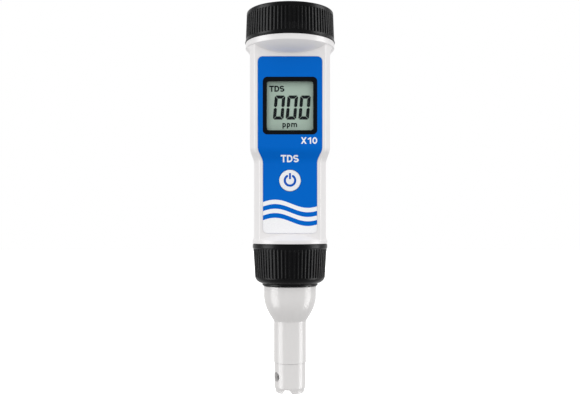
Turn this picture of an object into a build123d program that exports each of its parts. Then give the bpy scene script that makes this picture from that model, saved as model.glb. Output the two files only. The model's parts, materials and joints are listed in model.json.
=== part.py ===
from build123d import *
from math import atan2, copysign, cos, hypot, sin, sqrt
import os

# A pen-shaped meter for dissolved solids, upright on its probe tip: +Z up the pen, front to -Y.
# Lengths are in millimetres and angles in degrees. Sizes come first, then one function a piece.

# Clearances that mating pieces share
run_gap = 0.1        # a piece that turns or slides on another
press_gap = 0.05     # pieces of one body that are only laid together
seat_gap = 0.3       # a soft ring and what it seals against
joint_line = 0.1     # the fine dark line between two outside pieces
thread_gap = 0.5     # room for the thread between a neck and its nut

# Button cells and their tray, which set the width of the top neck
cell_r = 5.8
cell_height = 5.4
cell_rim = 0.5       # height of the smaller pole of a cell
cell_rim_step = 1.2  # that pole inside the can
cell_edge = 0.4
cells_in_stack = 2
well_gap = 0.15
well_web = 0.65      # half of the wall between the two wells
well_wall = 1.15
tray_rim = 1.4       # flat rim outside the wells
tray_floor = 1.5
tray_wall_height = 10.5
leaf_height = 1.3    # the spring leaf under a stack, as compressed
leaf_t = 0.3
leaf_width = 4.0
leaf_end_gap = 3.1   # from the leaf's tab, down the back of the board, to the holder's pegs
leaf_side_gap = 0.2
finger_slot = 5.0    # gap in the wells for the fingers that lift a cell
well_x = cell_r + well_gap + well_web
tray_r = well_x + cell_r + well_gap + well_wall + tray_rim

screw_r = 0.95
screw_head_r = 1.9
screw_head_t = 1.2
screw_head_edge = 0.5
screw_length = 6.0
screw_hole_gap = 0.25
cross_reach = 1.1    # half length of the cross recess
cross_half = 0.2
cross_depth = 0.7

# Top neck, screw cap and the ring that they stand on
neck_wall = 2.0
neck_height = 9.0
cap_skirt = 2.5
cap_top_wall = 2.4
cap_draft = 0.76
cap_edge = 0.9
cap_band = 1.0       # plain band above the ribs
cap_lip = 1.6        # plain lip below the ribs
cap_lip_t = 0.32     # how far its rim stands out from the ribs
cap_rim_edge = 0.2
cap_bore_edge = 1.0
cap_rib_count = 74
cap_groove = 0.85
groove_depth = 0.35
mouth_r = tray_r + seat_gap
neck_r = mouth_r + neck_wall
cap_bore_r = neck_r + thread_gap
cap_ring_height = 2.4
ring_step = 0.27     # this ring inside the cap's rim
ring_ledge = 0.6     # its flat underside, outside the flare of the sides
seal_t = 1.4         # section of the ring seal on the top neck
seal_up = 2.2        # its middle above the foot of the neck

# Contact plate under the top of the cap
plate_t = 0.3
plate_drop = 0.75    # how far its two fingers reach down
plate_flat = 3.0     # half of its flat middle
plate_finger = 4.0   # run of each side of a finger
plate_width = 8.0
stud_r = 1.6
stud_head_r = 2.6
stud_head_t = 0.3
stud_boss_r = 4.0
stud_boss_height = 1.05

# White housing
wall = 2.0
grip_flat = 2.37     # side flats of the upper part, inside the top ring
slim_flat = 0.65     # side flats of the lower part, inside its round back
grip_depth = 12.2    # from the axis to the flat front, upper part
slim_depth = 10.0    # the same in the lower part
grip_step = 0.35     # round back of the upper part inside the top ring
slim_r = 16.78       # round back of the lower part
front_edge_r = 0.8
upper_height = 45.4
waist_height = 7.3
bend_share = 1.53    # of the waist's S bend: 1 is a straight line, 2 is two arcs alone
lower_height = 34.0
foot_ring_height = 1.5
top_flare = 3.8
foot_flare = 2.0
shoulder_r = 11.5    # where the top shoulder starts, inside the body
shoulder_height = 4.4
shoulder_belly = (0.3, 0.66)  # how far its curve bulges, and how deep as a share of its height
shoulder_lip = 0.1   # bevel under the top ring
foot_shoulder_r = 9.0
foot_shoulder_height = 2.9
foot_shoulder_belly = 0.62
floor_up = 0.9       # floor of the cavity above the top of the bottom ring
ledge_down = 4.0     # the ledge under the tray, below the top ring
back_ledge_y = 8.0
ledge_t = 8.0
screw_hole_foot = 1.0

# Bottom neck and collar nut
foot_neck_r = 14.0
foot_neck_wall = 2.0
foot_thread_gap = 0.4
collar_skirt_low = 1.48
collar_skirt_high = 2.25
collar_lip_t = 0.3  # how far the lip stands out from the ribs
collar_lip_height = 2.0
collar_height = 19.0
collar_edge = 0.2
collar_hole_edge = 0.6   # the flat foot of the nut round its hole
collar_ring = (0.45, 1.0)    # the small ring at its foot: how far out, and how high
collar_step = (0.6, 0.3)     # the step from that ring to the belly
collar_belly = (1.05, 1.35)  # a point of the belly, in from the ribs and down from their foot
collar_web = 2.9     # thickness under the flange that the nut carries
collar_rib_up = 3.5  # foot of the ribs above the foot of the nut
collar_rib_count = 60
collar_groove = 0.9
foot_ring_step = 0.05

# Electrode module, from the tip upwards
stem_r = 7.33
guard_step = 0.2     # the guard is this much slimmer than the stem
guard_length = 13.6
guard_bore_r = 5.6
guard_hole_r = 2.25
guard_hole_up = 7.2
guard_hole_turn = -61
guard_taper_height = 2.9
guard_taper = 0.65
notch_turn = -12
notch_top = 2.4
notch_foot = 4.6
notch_height = 1.8
guard_wall_foot = 0.3   # the tip of the guard is this much narrower than its taper's foot
guard_foot_height = 0.9
stem_length = 18.5
stem_bore_r = 4.8
spigot_r = 6.2
spigot_length = 3.8
guard_seal_t = 0.8
bulb_height = 12.3
bulb_r = 11.9
bulb_leave = (0.13, 0.142)    # how the bulb's curve leaves the stem, in shares of its width and height
bulb_side = 0.55     # share of its height over which its side turns in from upright
land_height = 3.7
land_step = 0.4      # the bulb is this much narrower inside the nut
barrel_wall = 2.1
flange_r = 13.6
flange_t = 2.0
module_seal_t = 1.0
module_plug_r = 11.2
module_plug_height = 4.1
module_top_wall = 2.0
pin_r = 1.0
pin_spread = 2.4     # each measuring pin from the axis
pin_recess = 3.5     # tip of the pins above the tip of the guard
sensor_r = 1.1
sensor_recess = 5.0
pin_tail = 4.0       # pins above the top of their insulator
insulator_length = 11.0
plug_pin_r = 0.5
plug_pin_pitch = 2.0
plug_pin_count = 5
plug_pin_reach = 5.0
plug_pin_tail = 1.3

# Board and what stands on it
board_t = 1.6
holder_side_gap = 0.4     # between the display's holder and the rails of the board
board_half_lower = 13.2
board_tongue = 8.0   # half width of the tongue in the bottom neck
board_top = 4.1      # below the foot of the top ring
board_foot = 0.7     # above the floor of the cavity
socket_width = 14.0
socket_depth = 8.3
socket_height = 9.0
socket_lap = 4.0     # of the socket on the tongue
socket_gap = 0.7     # between the socket and the module's plug
rail_t = 1.0
rail_reach = 0.9     # how far a rail holds the board's edge
rail_length = 25.0

# Key and switch, which set how far the board lies behind the front
key_r = 4.725
key_down = 7.5       # its middle below the waist
key_proud = 0.25
key_edge = 0.3
key_gap = 0.15
key_flange = 0.95    # how far the flange stands out from the key
key_flange_t = 0.8
switch_size = 5.2
switch_t = 0.8
plunger_r = 1.3
plunger_proud = 0.4
plunger_length = 0.6
switch_well = 0.5
switch_leg = 0.9     # reach of a leg past the body
switch_leg_t = 0.25
switch_leg_width = 0.8
switch_leg_side = 1.8    # each leg from the middle of the switch

# Label and display
label_t = 0.25
label_recess = 0.3
label_gap = 0.15
label_margin_upper = 1.42
label_margin_lower = 1.54
label_top = 5.8      # below the foot of the top ring
label_foot = 3.2     # above the foot ring
label_corner = 2.1
display_up = 18.0    # middle of the display above the waist
frame_width = 24.0
frame_height = 25.4
frame_corner = 2.0
frame_side = 1.8     # black border beside the view
frame_end = 1.9      # black border above and below it
frame_lap = 0.5      # of the label on the bezel
label_side = 2.0     # least width of the label beside the frame
view_corner = 1.0
bezel_t = 0.9
bezel_skirt = 0.7
lens_t = 1.0
lens_lap = 0.4
glass_gap = 0.4      # front glass behind the inner wall
glass_t = 1.0
glass_side = 0.8     # the glass ends this far inside the sides of the frame
glass_end = 0.6      # and reaches this far past its ends
glass_ledge = 2.0    # strip of the front glass past the rear one
glass_corner = 0.2
holder_wall = 1.0
holder_step = 1.2    # its front edge behind the inner wall
strip_t = 1.6
strip_side = 1.2     # the contact strips end this far inside the sides of the glass
peg_r = 0.9
peg_side = 3.2       # the pegs stand this far inside the sides of the glass
peg_proud = 0.4

# On the back of the board
chip_size = 12.0
chip_t = 1.6
chip_up = 0.2        # its body above the board
lead_count = 11
lead_reach = 1.2
lead_t = 0.4
crystal_length = 11.0
crystal_width = 4.4
crystal_t = 3.4
can_r = 2.5
can_height = 5.4
can_side = 7.0       # each capacitor from the middle of the board
can_down = 10.0      # and below the waist
small_part_rows = 6
small_part_pitch = 2.6
small_part_width = 1.6
small_part_length = 3.2
small_part_t = 0.9
small_part_side = 3.6
small_parts_down = 4.0   # the first row below the middle of the key

# Heights, worked out from the tip upwards
z_stem = guard_length
z_bulb = z_stem + stem_length
z_land = z_bulb + bulb_height
z_collar = z_land + land_height + 2 * joint_line
z_flange = z_collar + collar_web + run_gap + joint_line
z_foot_ring = z_collar + collar_height + joint_line
z_module_top = z_flange + flange_t + module_plug_height
z_neck_foot = z_flange + flange_t + module_seal_t + seat_gap
z_socket = z_module_top + socket_gap
z_tongue = z_socket + socket_height - socket_lap
z_body = z_foot_ring + foot_ring_height
z_floor = z_body + floor_up
z_waist = z_body + lower_height
z_waist_top = z_waist + waist_height
z_ring = z_waist_top + upper_height
z_neck = z_ring + cap_ring_height
z_neck_top = z_neck + neck_height
z_ledge = z_neck - ledge_down
z_roof = z_ledge - wall
z_tray_floor = z_ledge + tray_floor
z_cells = z_tray_floor + leaf_height
z_cells_top = z_cells + cells_in_stack * cell_height
z_plate = z_cells_top + press_gap + plate_drop
z_ceiling = z_plate + plate_t + press_gap + stud_boss_height
z_top = z_ceiling + cap_top_wall
z_key = z_waist - key_down
z_display = z_waist_top + display_up
z_leaf_end = z_display + (frame_height / 2 + glass_end) + holder_wall / 2 + peg_r + leaf_end_gap

# The display, from its frame
view_width = frame_width - 2 * frame_side
view_height = frame_height - 2 * frame_end
glass_width = frame_width - 2 * glass_side
glass_height = frame_height + 2 * glass_end
strip_width = glass_width - 2 * strip_side
board_half_upper = glass_width / 2 + run_gap + holder_wall + holder_side_gap + rail_reach

# The cap is as wide as the cells or the front need, and the upper part follows it
front_half = frame_width / 2 + label_side + label_margin_upper
cap_r = max(cap_bore_r + cap_skirt, hypot(front_half, grip_depth) + grip_step + ring_step)
ring_r = cap_r - ring_step
grip_r = ring_r - grip_step
grip_half = ring_r - grip_flat
slim_half = slim_r - slim_flat
panel_half_upper = sqrt(grip_r**2 - grip_depth**2)
panel_half_lower = sqrt(slim_r**2 - slim_depth**2)

# Radii of the bottom neck, the nut and the foot ring
collar_bore_r = foot_neck_r + foot_thread_gap
collar_low_r = collar_bore_r + collar_skirt_low
collar_high_r = collar_bore_r + collar_skirt_high
collar_lip_r = collar_high_r + collar_lip_t
foot_ring_r = collar_lip_r + foot_ring_step
foot_bore_r = foot_neck_r - foot_neck_wall
barrel_r = bulb_r - land_step
guard_r = stem_r - guard_step

# Depths, from the flat front backwards: -Y is the front
y_upper = -grip_depth
y_lower = -slim_depth
y_upper_in = y_upper + wall
y_lower_in = y_lower + wall
y_flange = y_lower_in + press_gap
y_plunger = y_flange + key_flange_t + press_gap
y_switch = y_plunger + plunger_proud
y_board = y_switch + switch_t
y_board_back = y_board + board_t
y_bezel = y_upper + label_recess
y_bezel_back = y_bezel + bezel_t
y_lens_back = y_bezel_back + lens_t
y_glass = y_upper_in + glass_gap
y_glass_rear = y_glass + glass_t
y_glass_back = y_glass_rear + glass_t
y_holder = y_upper_in + holder_step


def s_bend(start, end):
    """An S from start to end that is upright at both: an arc, a straight and an arc."""
    (h0, z0), (h1, z1) = start, end
    rise = z1 - z0
    reach = abs(h1 - h0)
    side = 1 if h1 > h0 else -1
    tilt = bend_share * atan2(reach, rise)
    radius = (rise * sin(tilt) - reach * cos(tilt)) / (2 * (1 - cos(tilt)))
    out_mid, up_mid = side * radius * (1 - cos(tilt / 2)), radius * sin(tilt / 2)
    out, up = side * radius * (1 - cos(tilt)), radius * sin(tilt)
    lower = ThreePointArc(start, (h0 + out_mid, z0 + up_mid), (h0 + out, z0 + up))
    upper = ThreePointArc((h1 - out, z1 - up), (h1 - out_mid, z1 - up_mid), end)
    return [lower, Line(lower @ 1, upper @ 0), upper]


def flare(start, end):
    """An arc that is upright at start and bends out to end."""
    (h0, z0), (h1, z1) = start, end
    rise, reach = z1 - z0, h1 - h0
    radius = (rise**2 + reach**2) / (2 * reach)
    half_turn = atan2(abs(reach), abs(rise))
    climb = copysign(radius * sin(half_turn), rise)
    return ThreePointArc(start, (h0 + radius * (1 - cos(half_turn)), z0 + climb), end)


def turned(edges):
    """A solid of revolution about the pen's axis, from edges in radius and height."""
    return revolve(Plane.XZ * make_face(edges), Axis.Z)


def turned_polygon(*points):
    return turned(Polyline(*points, close=True))


def rod(radius, low, high, x=0, y=0):
    """An upright cylinder between two heights."""
    up = (Align.CENTER, Align.CENTER, Align.MIN)
    return Pos(x, y, low) * Cylinder(radius, high - low, align=up)


def block(x0, x1, y0, y1, z0, z1):
    middle = ((x0 + x1) / 2, (y0 + y1) / 2, (z0 + z1) / 2)
    return Pos(*middle) * Box(abs(x1 - x0), abs(y1 - y0), abs(z1 - z0))


def facing(sketch, front, back):
    """A slab from an outline in x and z, between two depths."""
    return extrude(Plane((0, back, 0), (1, 0, 0), (0, -1, 0)) * sketch, back - front)


def ring_seal(middle_r, thickness, z):
    return Pos(0, 0, z) * Torus(middle_r, thickness / 2)


def both_sides(edges_of):
    """The edges for side +1 and side -1."""
    return [edge for side in (1, -1) for edge in edges_of(side)]


def front_outline(inset, low, high):
    """The housing's outline from the front, between two heights, with its waist."""
    slim, grip = slim_half - inset, grip_half - inset

    def side_edges(side):
        return [
            Line((side * slim, low), (side * slim, z_waist)),
            *s_bend((side * slim, z_waist), (side * grip, z_waist_top)),
            Line((side * grip, z_waist_top), (side * grip, high)),
        ]

    ends = [Line((-slim, low), (slim, low)), Line((-grip, high), (grip, high))]
    return make_face(both_sides(side_edges) + ends)


def flared_outline():
    """The outside outline from the front, which flares out into both rings."""
    foot, head = z_body + foot_flare, z_ring - top_flare
    flare_r = ring_r - ring_ledge

    def side_edges(side):
        return [
            flare((side * slim_half, foot), (side * foot_ring_r, z_body)),
            Line((side * slim_half, foot), (side * slim_half, z_waist)),
            *s_bend((side * slim_half, z_waist), (side * grip_half, z_waist_top)),
            Line((side * grip_half, z_waist_top), (side * grip_half, head)),
            flare((side * grip_half, head), (side * flare_r, z_ring)),
        ]

    ends = [Line((-foot_ring_r, z_body), (foot_ring_r, z_body)), Line((-flare_r, z_ring), (flare_r, z_ring))]
    return make_face(both_sides(side_edges) + ends)


def front_curve(inset, low, high):
    """The flat front from the side, with its waist, as edges in depth and height."""
    lower, upper = y_lower + inset, y_upper + inset
    return [
        Line((lower, low), (lower, z_waist)),
        *s_bend((lower, z_waist), (upper, z_waist_top)),
        Line((upper, z_waist_top), (upper, high)),
    ]


def across(edges):
    """A solid from a side outline in depth and height, as wide as the pen and more."""
    return extrude(Plane.YZ * make_face(edges), 2 * cap_r, both=True)


def behind_front(inset, low, high):
    """All the space behind the flat front, moved in by inset."""
    back = 2 * cap_r
    edges = front_curve(inset, low, high)
    edges += [
        Line((y_lower + inset, low), (back, low)),
        Line((back, low), (back, high)),
        Line((back, high), (y_upper + inset, high)),
    ]
    return across(edges)


def front_band(near, far, low, high):
    """The space between the flat front moved in by near and moved in by far."""
    edges = front_curve(near, low, high) + front_curve(far, low, high)
    edges.append(Line((y_lower + near, low), (y_lower + far, low)))
    edges.append(Line((y_upper + near, high), (y_upper + far, high)))
    return across(edges)


def round_form(inset, low, high):
    """The round back: a turned solid with the waist."""
    slim, grip = slim_r - inset, grip_r - inset
    edges = [
        Line((0, low), (slim, low)),
        Line((slim, low), (slim, z_waist)),
        *s_bend((slim, z_waist), (grip, z_waist_top)),
        Line((grip, z_waist_top), (grip, high)),
        Line((grip, high), (0, high)),
        Line((0, high), (0, low)),
    ]
    return turned(edges)


def outside_form():
    form = behind_front(0, z_body, z_ring) & round_form(0, z_body, z_ring)
    form = fillet(front_rim_edges(form), front_edge_r)
    return form & extrude(Plane.XZ * flared_outline(), 2 * cap_r, both=True)


def front_rim_edges(form):
    """The long edges between the flat front and the round corners."""
    flats = form.faces().filter_by(lambda face: face.center().Y < y_lower + front_edge_r)
    return [
        edge
        for edge in flats.edges()
        if abs(edge.center().X) > panel_half_lower - front_edge_r and abs(edge.tangent_at(0.5).Z) > 0.5
    ]


def inside_form():
    low, high = z_floor, z_roof
    form = extrude(Plane.XZ * front_outline(wall, low, high), 2 * cap_r, both=True)
    return form & behind_front(wall, low, high) & round_form(wall, low, high)


def top_shoulder():
    """The bowl under the top ring, and the ring."""
    start = z_ring - shoulder_height
    bulge, sink = shoulder_belly
    middle = ((shoulder_r + ring_r) / 2 + bulge, z_ring - sink * shoulder_height)
    lip = (ring_r - shoulder_lip, z_ring - shoulder_lip)
    edges = [
        Line((0, start), (shoulder_r, start)),
        ThreePointArc((shoulder_r, start), middle, lip),
        Line(lip, (ring_r, z_ring)),
        Line((ring_r, z_ring), (ring_r, z_neck)),
        Line((ring_r, z_neck), (0, z_neck)),
        Line((0, z_neck), (0, start)),
    ]
    return turned(edges)


def foot_shoulder():
    """The dish above the bottom ring, and the ring."""
    peak = z_body + foot_shoulder_height
    middle = ((foot_shoulder_r + foot_ring_r) / 2, z_body + foot_shoulder_belly * foot_shoulder_height)
    edges = [
        Line((0, z_foot_ring), (foot_ring_r, z_foot_ring)),
        Line((foot_ring_r, z_foot_ring), (foot_ring_r, z_body)),
        ThreePointArc((foot_ring_r, z_body), middle, (foot_shoulder_r, peak)),
        Line((foot_shoulder_r, peak), (0, peak)),
        Line((0, peak), (0, z_foot_ring)),
    ]
    return turned(edges)


def label_outline(grow):
    """The label from the front, with its waist and round corners."""
    low, high = z_body + label_foot - grow, z_ring - label_top + grow
    slim = panel_half_lower - label_margin_lower + grow
    grip = panel_half_upper - label_margin_upper + grow

    def side_edges(side):
        return [
            Line((side * slim, low), (side * slim, z_waist)),
            *s_bend((side * slim, z_waist), (side * grip, z_waist_top)),
            Line((side * grip, z_waist_top), (side * grip, high)),
        ]

    ends = [Line((-slim, low), (slim, low)), Line((-grip, high), (grip, high))]
    face = make_face(both_sides(side_edges) + ends)
    corners = face.vertices().filter_by(lambda v: v.Y < low + grow + 0.01 or v.Y > high - grow - 0.01)
    return fillet(corners, label_corner + grow)


def label_prism(grow):
    return extrude(Plane.XZ * label_outline(grow), 2 * cap_r, both=True)


def display_rectangle(width, height, corner):
    return Pos(0, z_display) * RectangleRounded(width, height, corner)


def key_disc(radius):
    return Pos(0, z_key) * Circle(radius)


def bezel_size(grow):
    width = frame_width + 2 * (frame_lap + grow)
    height = frame_height + 2 * (frame_lap + grow)
    return display_rectangle(width, height, frame_corner + frame_lap + grow)


def skirt_size(grow):
    lap = lens_lap + press_gap + bezel_skirt + grow
    return display_rectangle(view_width + 2 * lap, view_height + 2 * lap, view_corner + lap)


def screw_places():
    return [(side * well_x, (back_ledge_y + mouth_r) / 2 - seat_gap) for side in (-1, 1)]


def board_rails(body):
    """Two slots on each side that hold the edges of the board."""
    front, back = y_board - press_gap, y_board_back + press_gap
    for side in (-1, 1):
        for low, edge, form_half in (
            (z_floor, board_half_lower, slim_half),
            (z_waist_top + wall, board_half_upper, grip_half),
        ):
            inner, outer = side * (edge - rail_reach), side * (form_half - wall / 2)
            body += block(inner, outer, front - rail_t, front, low, low + rail_length)
            body += block(inner, outer, back, back + rail_t, low, low + rail_length)
    return body


def housing():
    body = outside_form() + top_shoulder() + foot_shoulder()
    body += rod(neck_r, z_ring, z_neck_top) + rod(foot_neck_r, z_neck_foot, z_body)
    body -= inside_form()
    ledge = block(-cap_r, cap_r, back_ledge_y, cap_r, z_ledge - ledge_t, z_ledge)
    body += ledge & round_form(wall / 2, z_floor, z_neck)
    throat = rod(mouth_r, z_roof, z_ledge)
    body -= throat & block(-cap_r, cap_r, y_upper_in, back_ledge_y, z_roof, z_ledge)
    body -= rod(mouth_r, z_ledge, z_neck_top)
    body -= rod(foot_bore_r, z_neck_foot, z_floor)
    body = board_rails(body)
    body -= seal_groove()
    for x, y in screw_places():
        body -= rod(screw_r + press_gap, z_ledge - ledge_t + screw_hole_foot, z_ledge, x, y)
    body -= front_band(-1, label_recess, z_body, z_ring) & label_prism(label_gap)
    body -= facing(bezel_size(press_gap * 2), y_upper - 1, y_bezel_back)
    body -= facing(skirt_size(press_gap * 2), y_upper - 1, y_upper_in + 1)
    body -= facing(key_disc(key_r + key_gap), y_lower - 1, y_lower_in + 1)
    return body


def seal_groove():
    """The groove round the foot of the top neck."""
    low, high = z_neck + seal_up - seal_t / 2 - seat_gap, z_neck + seal_up + seal_t / 2 + seat_gap
    return rod(neck_r + 1, low, high) - rod(seal_middle_r() - seal_t / 2 - seat_gap, low, high)


def seal_middle_r():
    return neck_r - press_gap


def front_label():
    film = front_band(label_recess - label_t, label_recess, z_body, z_ring) & label_prism(0)
    film -= facing(display_rectangle(frame_width, frame_height, frame_corner), y_upper - 1, y_upper_in)
    film -= facing(key_disc(key_r + key_gap), y_lower - 1, y_lower_in)
    return film


def display_bezel():
    frame = facing(bezel_size(0), y_bezel, y_bezel_back)
    frame += facing(skirt_size(0), y_bezel_back, y_lens_back)
    frame -= facing(skirt_size(-bezel_skirt), y_bezel_back, y_lens_back)
    return frame - facing(display_rectangle(view_width, view_height, view_corner), y_bezel, y_bezel_back)


def display_lens():
    return facing(skirt_size(-bezel_skirt - press_gap), y_bezel_back, y_lens_back)


def lcd_panel():
    front = display_rectangle(glass_width, glass_height, glass_corner)
    rear = display_rectangle(glass_width, glass_height - 2 * glass_ledge, glass_corner)
    return facing(front, y_glass, y_glass_rear) + facing(rear, y_glass_rear, y_glass_back)


def strip_heights():
    """Middles of the two contact strips, under the ledges of the front glass."""
    middle = (glass_height - glass_ledge) / 2
    return z_display - middle, z_display + middle


def peg_places():
    side, reach = glass_width / 2 - peg_side, (glass_height + holder_wall) / 2
    return [(x, z_display + z) for x in (-side, side) for z in (-reach, reach)]


def lcd_holder():
    gap = run_gap
    outer = (glass_width + 2 * (gap + holder_wall), glass_height + 2 * (gap + holder_wall))
    frame = facing(display_rectangle(*outer, holder_wall), y_holder, y_board)
    pocket = display_rectangle(glass_width + 2 * gap, glass_height + 2 * gap, glass_corner + gap)
    frame -= facing(pocket, y_holder, y_glass_back)
    for z in strip_heights():
        slot = Pos(0, z) * Rectangle(strip_width + 2 * gap, strip_t + 2 * gap)
        frame -= facing(slot, y_holder, y_board)
    for x, z in peg_places():
        frame += facing(Pos(x, z) * Circle(peg_r), y_board, y_board_back + peg_proud)
    return frame


def lcd_connector_strips():
    strip = Rectangle(strip_width, strip_t)
    return [facing(Pos(0, z) * strip, y_glass_rear, y_board) for z in strip_heights()]


def circuit_board():
    low, high = z_floor + board_foot, z_ring - board_top
    right = [
        (board_tongue, z_tongue),
        (board_tongue, low),
        (board_half_lower, low),
        (board_half_lower, z_waist),
        (board_half_upper, z_waist_top),
        (board_half_upper, high),
    ]
    left = [(-x, z) for x, z in reversed(right)]
    board = facing(make_face(Polyline(*right, *left, close=True)), y_board, y_board_back)
    for x, z in peg_places():
        board -= facing(Pos(x, z) * Circle(peg_r + press_gap), y_board, y_board_back)
    return board


def controller_chip():
    """A flat square package on the back of the board, with leads on two sides."""
    y = y_board_back
    chip = facing(Pos(0, z_display) * Rectangle(chip_size, chip_size), y + chip_up, y + chip_t)
    pitch = chip_size / (lead_count + 1)
    for side in (-1, 1):
        inner, outer = side * (chip_size / 2 - lead_t / 2), side * (chip_size / 2 + lead_reach)
        for row in range(lead_count):
            middle = z_display + (row - (lead_count - 1) / 2) * pitch
            chip += block(inner, outer, y, y + lead_t, middle - pitch / 4, middle + pitch / 4)
    return chip


def board_components():
    """Crystal, two capacitors and a row of small parts, all on the back of the board."""
    y = y_board_back
    parts = [facing(Pos(0, z_waist) * SlotOverall(crystal_length, crystal_width), y, y + crystal_t)]
    half = small_part_width / 2
    for side in (-1, 1):
        parts.append(facing(Pos(side * can_side, z_waist - can_down) * Circle(can_r), y, y + can_height))
        inner, outer = side * small_part_side, side * (small_part_side + small_part_length)
        for row in range(small_part_rows):
            middle = z_key - small_parts_down - row * small_part_pitch
            parts.append(block(inner, outer, y, y + small_part_t, middle - half, middle + half))
    return parts


def power_key():
    """The round key: its face, its shank and the flange that keeps it in the wall."""
    face = y_lower + press_gap - key_proud
    key = facing(key_disc(key_r), face, y_flange)
    key = fillet(key.faces().sort_by(Axis.Y)[0].edges(), key_edge)
    return key + facing(key_disc(key_r + key_flange), y_flange, y_flange + key_flange_t)


def switch_body():
    body = facing(Pos(0, z_key) * Rectangle(switch_size, switch_size), y_switch, y_board)
    body -= facing(key_disc(plunger_r + run_gap), y_switch, y_switch + switch_well)
    half = switch_leg_width / 2
    for x in (-1, 1):
        inner, outer = x * (switch_size / 2 - switch_leg_t), x * (switch_size / 2 + switch_leg)
        for z in (z_key - switch_leg_side, z_key + switch_leg_side):
            body += block(inner, outer, y_board - switch_leg_t, y_board, z - half, z + half)
    return body


def switch_plunger():
    return facing(key_disc(plunger_r), y_plunger, y_plunger + plunger_length)


def battery_holder():
    """A round tray with a floor and two upright wells."""
    tray = rod(tray_r, z_ledge, z_tray_floor)
    top = z_tray_floor + tray_wall_height
    sides = (-well_x, well_x)
    for x in sides:
        tray += rod(cell_r + well_gap + well_wall, z_tray_floor, top, x)
    for x in sides:
        tray -= rod(cell_r + well_gap, z_tray_floor, top, x)
        half = leaf_width / 2 + leaf_side_gap
        tray -= block(x - half, x + half, *leaf_slot(), z_ledge, z_tray_floor)
    finger_gap = block(-tray_r, tray_r, -finger_slot / 2, finger_slot / 2, z_cells + cell_height, top)
    tray -= finger_gap - rod(well_x, z_tray_floor, top)
    for x, y in screw_places():
        tray -= rod(screw_r + screw_hole_gap, z_ledge, z_tray_floor, x, y)
    return tray


def leaf_slot():
    """The leaf's tab passes the floor here, close behind the board."""
    return y_board_back - run_gap, y_board_back + leaf_t + 3 * run_gap


def battery_springs():
    """A bent leaf under each stack: a tab down to the board, a foot and a sprung hump."""
    tab, floor = y_board_back + press_gap, z_tray_floor + press_gap
    reach, tip = 0.8 * cell_r, z_cells - press_gap
    profile = [
        (tab, z_leaf_end),
        (tab, floor + leaf_t),
        (reach - 4 * leaf_t, floor + leaf_t),
        (-1, tip - 1.5 * leaf_t),
        (-1, tip - 0.5 * leaf_t),
        (0, tip),
        (1, tip),
        (reach + leaf_t, floor + leaf_t / 2),
        (reach + leaf_t, floor),
        (tab + leaf_t, floor),
        (tab + leaf_t, z_leaf_end),
    ]
    leaf = extrude(Plane.YZ * make_face(Polyline(*profile, close=True)), leaf_width / 2, both=True)
    return [Pos(x, 0, 0) * leaf for x in (-well_x, well_x)]


def cell(x, low, rim_up):
    """A button cell: a can with a rounded edge and a smaller pole at one end."""
    can_height = cell_height - cell_rim
    can_low = low if rim_up else low + cell_rim
    can = fillet(rod(cell_r, can_low, can_low + can_height, x).edges(), cell_edge)
    pole_low = low + can_height if rim_up else low
    return can + rod(cell_r - cell_rim_step, pole_low, pole_low + cell_rim, x)


def button_cells():
    lows = [z_cells + row * cell_height for row in range(cells_in_stack)]
    return [cell(side * well_x, low, side > 0) for side in (-1, 1) for low in lows]


def holder_screws():
    """Pan-head screws, with a cross recess, down through the rim of the tray."""
    screws = []
    for x, y in screw_places():
        top = z_tray_floor + screw_head_t
        head = rod(screw_head_r, z_tray_floor, top, x, y)
        head = fillet(head.faces().sort_by(Axis.Z)[-1].edges(), screw_head_edge)
        for across_x, across_y in ((cross_reach, cross_half), (cross_half, cross_reach)):
            low = top - cross_depth
            head -= block(x - across_x, x + across_x, y - across_y, y + across_y, low, top)
        screws.append(head + rod(screw_r, z_tray_floor - screw_length, z_tray_floor, x, y))
    return screws


def battery_cap_seal():
    return ring_seal(seal_middle_r(), seal_t, z_neck + seal_up)


def contact_plate():
    """A sprung strip whose two fingers reach down to the tops of the stacks."""
    low = z_plate
    half = [
        (plate_flat, low),
        (plate_flat + plate_finger, low - plate_drop),
        (plate_flat + 2 * plate_finger, low),
    ]
    under = [(-x, z) for x, z in reversed(half)] + half
    over = [(x, z + plate_t) for x, z in reversed(under)]
    profile = make_face(Polyline(*under, *over, close=True))
    strip = extrude(Plane.XZ * profile, plate_width / 2, both=True)
    return strip - rod(stud_r + run_gap, low - plate_t, low + 2 * plate_t)


def grooves(radius_low, radius_high, low, high, width, count):
    """Upright grooves with round ends round a slightly conical skirt."""
    length = high - low
    lean = Vector(radius_high - radius_low, 0, length).normalized()
    outward = Vector(lean.Z, 0, -lean.X)
    middle = Vector((radius_low + radius_high) / 2, 0, (low + high) / 2) - outward * groove_depth
    slot = Plane(middle, x_dir=lean, z_dir=outward) * SlotOverall(length, width)
    tool = extrude(slot, 4 * groove_depth)
    return [spot * tool for spot in PolarLocations(0, count)]


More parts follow.
